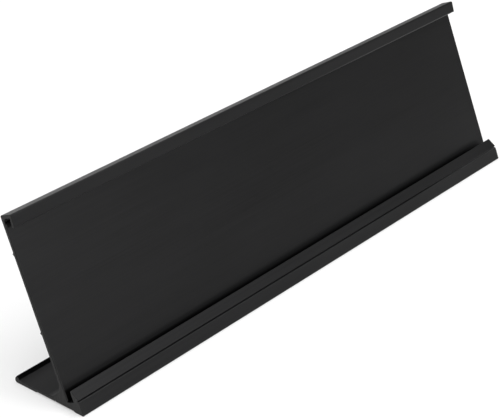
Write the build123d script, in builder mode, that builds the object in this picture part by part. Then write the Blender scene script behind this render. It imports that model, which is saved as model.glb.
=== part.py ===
from build123d import *
from math import cos, radians, sin, tan
import os

os.makedirs("parts", exist_ok=True)

# Desk name plate: an extruded holder that leans back on its own foot, and the thin name insert that
# slides along it between the lip at the bottom and the hook at the top.
# The section is drawn with y to the rear and z up. In the leaning frame, the first value is the depth
# behind the front face, square to the panel, and the second is the rise along the panel.

# Name insert, cut from sheet
insert_height = 50.8
insert_thickness = 0.3
insert_corner_radius = 0.5
insert_end_clearance = 0.1
insert_seat_clearance = 0.05

# Holder
holder_length = 203.2
end_break = 0.1
lean_angle = 22.5
panel_wall = 1.0
channel_width = 2.5
channel_headroom = 1.3
channel_floor_rise = 4.2

# Lip in front of the bottom channel
lip_root_wall = 2.2
lip_crest_width = 0.4
lip_height = 3.3
lip_edge_radius = 0.15
nose_above_floor = 0.6
crease_width = 0.7
crease_depth = 0.55
crease_deepest_share = 0.7
front_edge_radius = 0.3

# Hook over the top channel
hook_wall = 1.0
hook_lip_wall = 1.0
hook_channel_width = 2.55
hook_drop = 2.7
hook_tip_turn_in = 0.3
hook_corner_radius = 0.5
hook_inside_radius = 0.9
hook_tip_radius = 0.35
rear_corner_radius = 0.35

# Base behind the panel, with a ridge along its rear edge
base_depth = 26.3
base_wall = 1.2
back_fillet_radius = 4.6
ridge_depth = 1.75
ridge_height = 1.15
ridge_crest_share = 0.52
ridge_crest_radius = 0.2
ridge_shoulder_rise = 1.25
ridge_shoulder_radius = 0.7
rear_edge_radius = 0.8

# Underside: shallow relief between two lands, with a scribed centre line
relief_depth = 0.28
front_land_depth = 3.2
rear_land_depth = 7.2
relief_ramp_depth = 0.7
scribe_width = 0.5
scribe_depth = 0.25
scribe_share = 0.5

# Stiffening ribs on the back of the panel, placed by shares of the height between the channels
rib_rise_shares = (0.38, 0.81)
rib_width = 1.1
rib_height = 0.45
rib_peak_share = 0.65

# One overrun for every cut
overrun = 1.0

# Places along the depth, square to the panel
panel_front = lip_root_wall + channel_width
panel_back = panel_front + panel_wall
hook_inner = panel_front - hook_channel_width
hook_outer = hook_inner - hook_lip_wall

# Places along the rise of the panel
lean = radians(lean_angle)
channel_height = insert_height + channel_headroom
lip_rise = channel_floor_rise + lip_height
nose_rise = channel_floor_rise + nose_above_floor
crease_foot_rise = nose_rise - crease_width
hook_inner_rise = channel_floor_rise + channel_height
hook_top_rise = hook_inner_rise + hook_wall
hook_tip_rise = hook_inner_rise - hook_drop
panel_foot_rise = panel_back * tan(lean)

# Places along the base, which starts inside the panel's foot
base_start = panel_front / cos(lean)
ridge_foot = base_depth - ridge_depth
ridge_crest = ridge_foot + ridge_depth * ridge_crest_share
ridge_top = base_wall + ridge_height
relief_rear = base_depth - rear_edge_radius - rear_land_depth
scribe_middle = front_land_depth + (relief_rear - front_land_depth) * scribe_share

# The origin is under the middle of the base, between its rounded front edge and the rear face
front_edge_reach = front_edge_radius / tan((radians(90) - lean) / 2) - front_edge_radius
base_middle = (front_edge_reach + base_depth) / 2

section_plane = Plane(origin=(0, -base_middle, 0), x_dir=(0, 1, 0), z_dir=(1, 0, 0))
leaning = Plane(origin=(0, 0, 0), x_dir=(cos(lean), -sin(lean), 0), z_dir=(0, 0, 1))


def leaning_point(depth, rise):
    """Gives a point of the leaning frame in the section's own y and z."""
    return leaning.from_local_coords((depth, rise, 0))


def corner(depth, rise):
    """Finds the section's corner at a point of the leaning frame."""
    return section.vertices().sort_by_distance(leaning_point(depth, rise))[0]


def upright_corner(place, height):
    """Finds the section's corner at a point of its own y and z."""
    return section.vertices().sort_by_distance((place, height, 0))[0]


with BuildPart() as holder:
    with BuildSketch(section_plane) as section:
        # Foot under the bottom channel, with the lip in front
        with BuildLine(leaning):
            Polyline(
                (0, 0),
                (0, crease_foot_rise),
                (crease_depth, crease_foot_rise + crease_width * crease_deepest_share),
                (0, nose_rise),
                (lip_root_wall - lip_crest_width, lip_rise),
                (lip_root_wall, lip_rise),
                (lip_root_wall, channel_floor_rise),
                (panel_back, channel_floor_rise),
                (panel_back, panel_foot_rise),
                close=True,
            )
        make_face()

        # Panel, turned over at the top into the hook
        with BuildLine(leaning):
            Polyline(
                (panel_front, channel_floor_rise),
                (panel_front, hook_inner_rise),
                (hook_inner, hook_inner_rise),
                (hook_inner + hook_tip_turn_in, hook_tip_rise),
                (hook_outer + hook_tip_turn_in, hook_tip_rise),
                (hook_outer, hook_top_rise),
                (panel_back, hook_top_rise),
                (panel_back, channel_floor_rise),
                close=True,
            )
        make_face()

        # Base and its rear ridge
        with BuildLine():
            Polyline(
                (base_start, 0),
                (base_depth, 0),
                (base_depth, ridge_shoulder_rise),
                (ridge_crest, ridge_top),
                (ridge_foot, base_wall),
                (base_start, base_wall),
                close=True,
            )
        make_face()

        # Rounded inside and outside corners
        base_corner_rise = (base_wall + panel_back * sin(lean)) / cos(lean)
        fillet(corner(panel_back, base_corner_rise), back_fillet_radius)
        fillet(corner(0, 0), front_edge_radius)
        fillet(upright_corner(base_depth, 0), rear_edge_radius)
        fillet(upright_corner(base_depth, ridge_shoulder_rise), ridge_shoulder_radius)
        fillet(upright_corner(ridge_crest, ridge_top), ridge_crest_radius)
        fillet(corner(panel_back, hook_top_rise), rear_corner_radius)
        fillet(corner(hook_outer, hook_top_rise), hook_corner_radius)
        fillet(corner(panel_front, hook_inner_rise), hook_inside_radius)
        fillet(
            [
                corner(hook_inner + hook_tip_turn_in, hook_tip_rise),
                corner(hook_outer + hook_tip_turn_in, hook_tip_rise),
            ],
            hook_tip_radius,
        )
        fillet(
            [corner(lip_root_wall - lip_crest_width, lip_rise), corner(lip_root_wall, lip_rise)],
            lip_edge_radius,
        )

        # Ribs on the back of the panel
        for share in rib_rise_shares:
            rib_foot_rise = channel_floor_rise + channel_height * share - rib_width / 2
            with BuildLine(leaning):
                Polyline(
                    (panel_front, rib_foot_rise),
                    (panel_back, rib_foot_rise),
                    (panel_back + rib_height, rib_foot_rise + rib_width * rib_peak_share),
                    (panel_back, rib_foot_rise + rib_width),
                    (panel_front, rib_foot_rise + rib_width),
                    close=True,
                )
            make_face()

        # Relief under the base, between the lands, and the scribed line in it
        with BuildLine():
            Polyline(
                (front_land_depth, 0),
                (front_land_depth, -overrun),
                (relief_rear, -overrun),
                (relief_rear, 0),
                (relief_rear - relief_ramp_depth, relief_depth),
                (scribe_middle + scribe_width / 2, relief_depth),
                (scribe_middle, relief_depth + scribe_depth),
                (scribe_middle - scribe_width / 2, relief_depth),
                (front_land_depth + relief_ramp_depth, relief_depth),
                close=True,
            )
        make_face(mode=Mode.SUBTRACT)
    extrude(amount=holder_length / 2, both=True)

    # Sawn ends with their edges broken
    sawn_ends = holder.faces().filter_by(Axis.X)
    chamfer(sawn_ends.edges(), end_break)

holder.part.label = "holder"
export_step(holder.part, "parts/holder.step")

# The insert stands on the channel floor and leans on the panel, with a hair of running room at both
insert_length = holder_length - 2 * insert_end_clearance
insert_middle_rise = channel_floor_rise + insert_seat_clearance + insert_height / 2
insert_back = leaning_point(panel_front - insert_seat_clearance, insert_middle_rise)
insert_plane = Plane(
    origin=section_plane.from_local_coords(insert_back),
    x_dir=(1, 0, 0),
    z_dir=(0, -cos(lean), sin(lean)),
)

with BuildPart() as name_insert:
    with BuildSketch(insert_plane):
        RectangleRounded(insert_length, insert_height, insert_corner_radius)
    extrude(amount=insert_thickness)

name_insert.part.label = "name_insert"
export_step(name_insert.part, "parts/name_insert.step")
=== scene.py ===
from math import cos, radians, sin

import bpy
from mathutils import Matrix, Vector


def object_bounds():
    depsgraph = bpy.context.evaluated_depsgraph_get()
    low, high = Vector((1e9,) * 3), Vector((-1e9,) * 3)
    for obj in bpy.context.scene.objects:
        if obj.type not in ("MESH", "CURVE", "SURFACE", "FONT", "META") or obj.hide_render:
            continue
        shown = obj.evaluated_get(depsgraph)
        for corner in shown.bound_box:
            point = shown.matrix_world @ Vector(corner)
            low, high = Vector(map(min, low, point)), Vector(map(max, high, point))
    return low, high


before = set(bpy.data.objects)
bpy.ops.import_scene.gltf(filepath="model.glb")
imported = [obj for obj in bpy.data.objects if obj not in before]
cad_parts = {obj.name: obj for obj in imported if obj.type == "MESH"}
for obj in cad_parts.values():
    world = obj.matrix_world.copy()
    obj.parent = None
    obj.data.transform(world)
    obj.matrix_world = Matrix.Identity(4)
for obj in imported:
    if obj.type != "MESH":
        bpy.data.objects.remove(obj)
cad_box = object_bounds()

# A desk name plate in satin black anodised aluminium: an extruded holder and a bare insert.
# Lengths are in metres, in the frame of the CAD model, unless a name says otherwise.
FRONT = cad_box[0].y
RIGHT = cad_box[1].x
TOP = cad_box[1].z

# The photo's camera, with its angles in degrees
CAMERA_PLACE = Vector((-0.34773, -0.27548, 0.24845))
CAMERA_YAW = 50.1635
CAMERA_PITCH = 27.5957
CAMERA_LENS_MM = 118.08
SENSOR_WIDTH_MM = 36.0
NEAR_CLIP = 0.01

# Studio: an even sky, a large soft lamp overhead, a low one at the front right, a low one at the rear right
# and a pale floor. A lamp's size is its width and its height.
SKY_LEVEL = 0.42
TOP_LAMP_PLACE = Vector((0.0, 0.0, 1.0))
TOP_LAMP_SIZE = (1.5, 1.5)
TOP_LAMP_WATTS = 13.6
FRONT_LAMP_PLACE = Vector((0.391, -1.073, 0.508))
FRONT_LAMP_SIZE = (0.5, 0.5)
FRONT_LAMP_WATTS = 3.5
REAR_LAMP_PLACE = Vector((0.513, 1.203, 0.362))
REAR_LAMP_SIZE = (0.56, 0.34)
REAR_LAMP_WATTS = 0.55
FLOOR_HALF_SIDE = 6.0
FLOOR_COLOUR = (0.55, 0.55, 0.55, 1.0)
FLOOR_LIFT = 0.35
WHITE = (1.0, 1.0, 1.0, 1.0)

# Shades and roughness of the holder, of the insert and of the sawn ends, and the shade of a worn corner
HOLDER_DARK = (0.0213, 0.0213, 0.0218, 1.0)
HOLDER_LIGHT = (0.0283, 0.0283, 0.0288, 1.0)
HOLDER_ROUGHNESS = (0.39, 0.47)
INSERT_DARK = (0.0205, 0.0205, 0.0208, 1.0)
INSERT_LIGHT = (0.0252, 0.0252, 0.0257, 1.0)
INSERT_ROUGHNESS = (0.35, 0.41)
SAWN_DARK = (0.029, 0.029, 0.029, 1.0)
SAWN_LIGHT = (0.046, 0.046, 0.046, 1.0)
SAWN_ROUGHNESS = 0.5
WORN_EDGE = (0.060, 0.060, 0.061, 1.0)

# Noise in the finish, in cycles per metre along x, y and z. Most of a noise's values lie in the span. The
# weight says how far light clouds cover the die lines.
NOISE_SPAN = (0.3, 0.7)
HOLDER_LINES = (9.0, 1400.0, 1400.0)
INSERT_LINES = (25.0, 2600.0, 2600.0)
LINE_DETAIL = 3.0
LINE_ROUGHNESS = 0.6
CLOUDS = (18.0, 60.0, 60.0)
CLOUD_WEIGHT = 0.9
GRAIN = (5200.0, 5200.0, 5200.0)
GRAIN_DETAIL = 1.0
SAW_MARKS = (400.0, 3600.0, 260.0)

# Bumps that the grain and the lines or saw marks make
GRAIN_STRENGTH = 0.12
GRAIN_HEIGHT = 0.00002
LINE_STRENGTH = 0.18
LINE_HEIGHT = 0.00004

# Sawn ends are told by how squarely they face along x, and worn corners by how far a softened normal turns
# there: the cosine where each starts and the one where it is full. The wear is the worn shade's share there.
END_FACING = (0.80, 0.95)
EDGE_TURN = (0.995, 0.90)
EDGE_SAMPLES = 6
EDGE_WEAR = (0.25, 0.75)
HOLDER_EDGE_RADIUS = 0.00012
INSERT_EDGE_RADIUS = 0.00008

# Lines along the holder with painted light that grows towards its right end: a painted highlight on the
# hook's lower edge, and painted light in the crease that lifts its shade. For each: the place in the
# section, where along x the painted light starts and where it is full, and its colour there. The reach is
# how far from a line the painted light is full, and how far away it ends. ACROSS keeps a place's y and z and
# drops its x.
PAINTED_LIGHT_REACH = (0.00030, 0.00045)
ACROSS = (0.0, 1.0, 1.0)
# Painted highlight along the hook's lower edge, growing towards the right end
HOOK_EDGE = Vector((0.0, FRONT + 0.02148, TOP - 0.00318))
HOOK_EDGE_SPAN = (RIGHT - 0.0836, RIGHT - 0.0516)
HOOK_EDGE_HIGHLIGHT = (0.056, 0.056, 0.057, 1.0)
# Painted light in the crease that lifts its shade, growing towards the right end
CREASE = Vector((0.0, FRONT + 0.00187, 0.00399))
CREASE_SPAN = (RIGHT - 0.0496, RIGHT - 0.0056)
CREASE_PAINTED_LIGHT = (0.110, 0.110, 0.111, 1.0)
PAINTED_LIGHT_LINES = (
    (HOOK_EDGE, HOOK_EDGE_SPAN, HOOK_EDGE_HIGHLIGHT),
    (CREASE, CREASE_SPAN, CREASE_PAINTED_LIGHT),
)


class Tree:
    """Short calls for making and joining nodes in one material."""

    def __init__(self, name):
        self.material = bpy.data.materials.new(name)
        self.material.use_nodes = True
        self.nodes = self.material.node_tree.nodes
        self.links = self.material.node_tree.links
        self.nodes.clear()
        self.output = self.add("ShaderNodeOutputMaterial")

    def add(self, kind, **settings):
        """Makes a node and sets its properties."""
        node = self.nodes.new(kind)
        for key, value in settings.items():
            setattr(node, key, value)
        return node

    def put(self, value, socket):
        """Links another node's output to an input, or sets the input to a plain value."""
        if isinstance(value, bpy.types.NodeSocket):
            self.links.new(value, socket)
        else:
            socket.default_value = value

    def feed(self, node, **inputs):
        """Puts values into the node's inputs by their names, with underscores for spaces."""
        for key, value in inputs.items():
            name = key.replace("_", " ")
            socket = next(i for i in node.inputs if i.name == name and i.enabled)
            self.put(value, socket)
        return node


def noise(tree, place, stretch, detail=2.0, roughness=0.5):
    """Noise in the part's own frame, with its own number of cycles per metre along x, y and z."""
    mapping = tree.feed(tree.add("ShaderNodeMapping"), Vector=place, Scale=stretch)
    node = tree.add("ShaderNodeTexNoise")
    tree.feed(node, Vector=mapping.outputs["Vector"], Scale=1.0, Detail=detail, Roughness=roughness)
    return node.outputs["Fac"]


def spread(tree, value, span, onto=(0.0, 1.0)):
    """Maps a span of a changing value onto another span, and stops at its ends."""
    node = tree.add("ShaderNodeMapRange")
    tree.feed(node, Value=value, From_Min=span[0], From_Max=span[1], To_Min=onto[0], To_Max=onto[1])
    return node.outputs["Result"]


def shades(tree, value, dark, light):
    """Maps noise onto shades between two colours."""
    node = tree.add("ShaderNodeValToRGB")
    for stop, position, colour in zip(node.color_ramp.elements, NOISE_SPAN, (dark, light)):
        stop.position = position
        stop.color = colour
    tree.feed(node, Fac=value)
    return node.outputs["Color"]


def mixed(tree, share, one, other, kind="RGBA"):
    """Mixes two colours or two numbers by a share."""
    node = tree.add("ShaderNodeMix", data_type=kind)
    sockets = [i for i in node.inputs if i.enabled]
    for socket, value in zip(sockets, (share, one, other)):
        tree.put(value, socket)
    return next(o for o in node.outputs if o.enabled)


def arithmetic(tree, operation, *values):
    """One step of arithmetic on numbers."""
    node = tree.add("ShaderNodeMath", operation=operation)
    for socket, value in zip(node.inputs, values):
        tree.put(value, socket)
    return node.outputs["Value"]


def vector_step(tree, operation, one, other):
    """One step of arithmetic on two vectors, as the node's outputs."""
    node = tree.add("ShaderNodeVectorMath", operation=operation)
    tree.put(one, node.inputs[0])
    tree.put(other, node.inputs[1])
    return node.outputs


def along_x(tree, vector):
    """How far a vector goes along x."""
    node = tree.feed(tree.add("ShaderNodeSeparateXYZ"), Vector=vector)
    return node.outputs["X"]


def bumped(tree, height, strength, distance, normal):
    """A normal that is turned by small heights on the surface."""
    node = tree.add("ShaderNodeBump")
    tree.feed(node, Height=height, Strength=strength, Distance=distance, Normal=normal)
    return node.outputs["Normal"]


def end_mask(tree):
    """1 on the sawn ends, which face along x, and 0 on the drawn faces."""
    surface = tree.add("ShaderNodeNewGeometry")
    facing = arithmetic(tree, "ABSOLUTE", along_x(tree, surface.outputs["True Normal"]))
    return spread(tree, facing, END_FACING)


def edge_mask(tree, radius):
    """1 on a corner and 0 away from it, with the softened normal that finds it."""
    surface = tree.add("ShaderNodeNewGeometry")
    bevel = tree.feed(tree.add("ShaderNodeBevel", samples=EDGE_SAMPLES), Radius=radius)
    soft_normal = bevel.outputs["Normal"]
    turn = vector_step(tree, "DOT_PRODUCT", surface.outputs["Normal"], soft_normal)["Value"]
    return spread(tree, turn, EDGE_TURN), soft_normal


def painted_light_mask(tree, place, line, span):
    """1 along the right stretch of a line along x, where light is painted, and 0 away from it."""
    section = vector_step(tree, "MULTIPLY", place, ACROSS)["Vector"]
    gap = vector_step(tree, "DISTANCE", section, line)["Value"]
    near = spread(tree, gap, PAINTED_LIGHT_REACH, (1.0, 0.0))
    right = spread(tree, along_x(tree, place), span)
    return arithmetic(tree, "MULTIPLY", near, right)


def anodised(name, dark, light, roughness, lines, edge_radius, painted_lights=()):
    """Satin black anodising: fine lines along x, a soft grain, sawn ends, worn corners and painted light
    along lines.
    """
    tree = Tree(name)
    place = tree.add("ShaderNodeTexCoord").outputs["Object"]
    die_lines = noise(tree, place, lines, LINE_DETAIL, LINE_ROUGHNESS)
    clouds = noise(tree, place, CLOUDS)
    grain = noise(tree, place, GRAIN, GRAIN_DETAIL)
    saw_marks = noise(tree, place, SAW_MARKS)
    ends = end_mask(tree)
    edges, soft_normal = edge_mask(tree, edge_radius)

    cover = arithmetic(tree, "MULTIPLY", clouds, CLOUD_WEIGHT)
    tone = mixed(tree, cover, die_lines, clouds, "FLOAT")
    drawn = shades(tree, tone, dark, light)
    sawn = shades(tree, saw_marks, SAWN_DARK, SAWN_LIGHT)
    face = mixed(tree, ends, drawn, sawn)
    wear = arithmetic(tree, "MULTIPLY", edges, spread(tree, clouds, NOISE_SPAN, EDGE_WEAR))
    colour = mixed(tree, wear, face, WORN_EDGE)
    # Painted light along lines: a highlight on the hook's lower edge, and light that lifts the crease's
    # shade
    for line, span, shade in painted_lights:
        colour = mixed(tree, painted_light_mask(tree, place, line, span), colour, shade)

    drawn_rough = spread(tree, tone, NOISE_SPAN, roughness)
    rough = mixed(tree, ends, drawn_rough, SAWN_ROUGHNESS, "FLOAT")

    lines_or_marks = mixed(tree, ends, die_lines, saw_marks, "FLOAT")
    grainy = bumped(tree, grain, GRAIN_STRENGTH, GRAIN_HEIGHT, soft_normal)
    normal = bumped(tree, lines_or_marks, LINE_STRENGTH, LINE_HEIGHT, grainy)

    shader = tree.add("ShaderNodeBsdfPrincipled")
    tree.feed(shader, Base_Color=colour, Metallic=1.0, Roughness=rough, Normal=normal)
    tree.feed(tree.output, Surface=shader.outputs["BSDF"])
    return tree.material


def seen_directly(tree):
    """1 for rays from the camera and for mirrored or transmitted ones, and 0 for the rest."""
    path = tree.add("ShaderNodeLightPath")
    seen = path.outputs["Is Camera Ray"]
    for name in ("Is Glossy Ray", "Is Transmission Ray"):
        seen = arithmetic(tree, "MAXIMUM", seen, path.outputs[name])
    return seen


def floor_white():
    """Pale paper that is lifted to white where it is seen, and that keeps shadows."""
    tree = Tree("floor_white")
    paper = tree.feed(tree.add("ShaderNodeBsdfDiffuse"), Color=FLOOR_COLOUR)
    strength = arithmetic(tree, "MULTIPLY", seen_directly(tree), FLOOR_LIFT)
    lift = tree.feed(tree.add("ShaderNodeEmission"), Color=WHITE, Strength=strength)
    total = tree.add("ShaderNodeAddShader")
    tree.put(paper.outputs["BSDF"], total.inputs[0])
    tree.put(lift.outputs["Emission"], total.inputs[1])
    tree.feed(tree.output, Surface=total.outputs["Shader"])
    return tree.material


def make_floor():
    """A wide, flat floor under the part."""
    mesh = bpy.data.meshes.new("floor")
    half = FLOOR_HALF_SIDE
    corners = [(-half, -half, 0.0), (half, -half, 0.0), (half, half, 0.0), (-half, half, 0.0)]
    mesh.from_pydata(corners, [], [(0, 1, 2, 3)])
    mesh.materials.append(floor_white())
    floor = bpy.data.objects.new("floor", mesh)
    bpy.context.collection.objects.link(floor)


def make_world():
    """An even, soft sky."""
    world = bpy.data.worlds.new("studio_sky")
    world.use_nodes = True
    sky = world.node_tree.nodes["Background"]
    sky.inputs["Color"].default_value = WHITE
    sky.inputs["Strength"].default_value = SKY_LEVEL
    bpy.context.scene.world = world


def set_up(name, data, place, direction):
    """Puts a lamp or a camera at a place, facing a direction, with its top upwards."""
    thing = bpy.data.objects.new(name, data)
    thing.location = place
    thing.rotation_mode = "QUATERNION"
    thing.rotation_quaternion = direction.to_track_quat("-Z", "Y")
    bpy.context.collection.objects.link(thing)
    return thing


def make_lamp(name, place, size, watts):
    """A soft round or oval lamp that faces the part."""
    light = bpy.data.lights.new(name, "AREA")
    light.shape = "ELLIPSE"
    light.size = size[0]
    light.size_y = size[1]
    light.energy = watts
    set_up(name, light, place, -place)


def make_camera():
    """The photo's camera, level from side to side."""
    data = bpy.data.cameras.new("camera")
    data.lens = CAMERA_LENS_MM
    data.sensor_width = SENSOR_WIDTH_MM
    data.clip_start = NEAR_CLIP
    yaw = radians(CAMERA_YAW)
    pitch = radians(CAMERA_PITCH)
    forward = Vector((sin(yaw) * cos(pitch), cos(yaw) * cos(pitch), -sin(pitch)))
    bpy.context.scene.camera = set_up("camera", data, CAMERA_PLACE, forward)


# The holder gets painted light along its hook edge and its crease
holder_black = anodised(
    "holder_black", HOLDER_DARK, HOLDER_LIGHT, HOLDER_ROUGHNESS, HOLDER_LINES, HOLDER_EDGE_RADIUS,
    painted_lights=PAINTED_LIGHT_LINES,
)
insert_black = anodised(
    "insert_black", INSERT_DARK, INSERT_LIGHT, INSERT_ROUGHNESS, INSERT_LINES, INSERT_EDGE_RADIUS
)
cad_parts["holder"].material_slots[0].material = holder_black
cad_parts["name_insert"].material_slots[0].material = insert_black

make_world()
make_floor()
make_lamp("top_lamp", TOP_LAMP_PLACE, TOP_LAMP_SIZE, TOP_LAMP_WATTS)
make_lamp("front_lamp", FRONT_LAMP_PLACE, FRONT_LAMP_SIZE, FRONT_LAMP_WATTS)
make_lamp("rear_lamp", REAR_LAMP_PLACE, REAR_LAMP_SIZE, REAR_LAMP_WATTS)
make_camera()
bpy.context.scene.view_settings.view_transform = "Standard"
